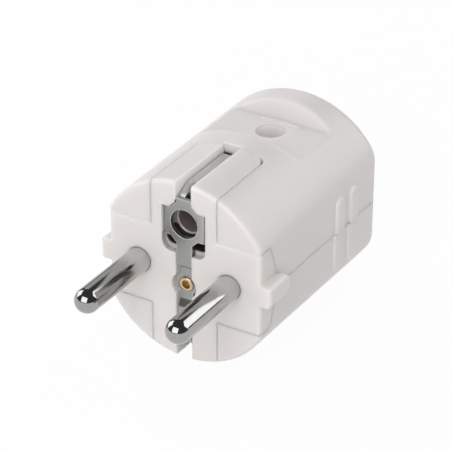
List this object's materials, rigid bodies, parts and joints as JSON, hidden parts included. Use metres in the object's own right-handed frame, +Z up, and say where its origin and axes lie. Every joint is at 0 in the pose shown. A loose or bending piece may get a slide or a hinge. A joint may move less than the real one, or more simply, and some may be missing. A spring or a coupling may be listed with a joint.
{
  "type": "electrical plug",
  "caption": "White rewireable earthed mains plug with round body, side flats, grip ribs, round contact pins, an earth pin socket and earth springs in slots above and below.",
  "frame": {"origin": "middle of the front face, halfway between the axes of the contact pins", "axes": "contact pins point along -Y, cord inlet faces +Y, +X runs from the left pin to the right pin, +Z up with the earth socket above the pins"},
  "size_m": [0.036, 0.0628, 0.0374],
  "materials": {
    "housing_white": "white moulded plastic with a soft sheen",
    "carrier_white": "white moulded plastic with a soft sheen",
    "nickel_pin": "bright nickel plating",
    "earth_sheet": "nickel-plated pressed sheet",
    "brass": "bare rolled brass",
    "steel_screw": "zinc-plated steel",
    "clamp_plastic": "white moulded plastic"
  },
  "bodies": {
    "root": {"upper_housing": "housing_white", "lower_housing": "housing_white", "contact_carrier": "carrier_white", "right_pin": "nickel_pin", "left_pin": "nickel_pin", "right_terminal_screw": "steel_screw", "left_terminal_screw": "steel_screw", "earth_plate": "earth_sheet", "earth_sleeve": "earth_sheet", "upper_earth_spring": "earth_sheet", "lower_earth_spring": "earth_sheet", "earth_rivet": "brass", "earth_terminal": "brass", "earth_terminal_screw": "steel_screw", "cord_clamp": "clamp_plastic", "right_clamp_screw": "steel_screw", "left_clamp_screw": "steel_screw", "housing_screw": "steel_screw", "housing_nut": "steel_screw"}
  },
  "joints": []
}
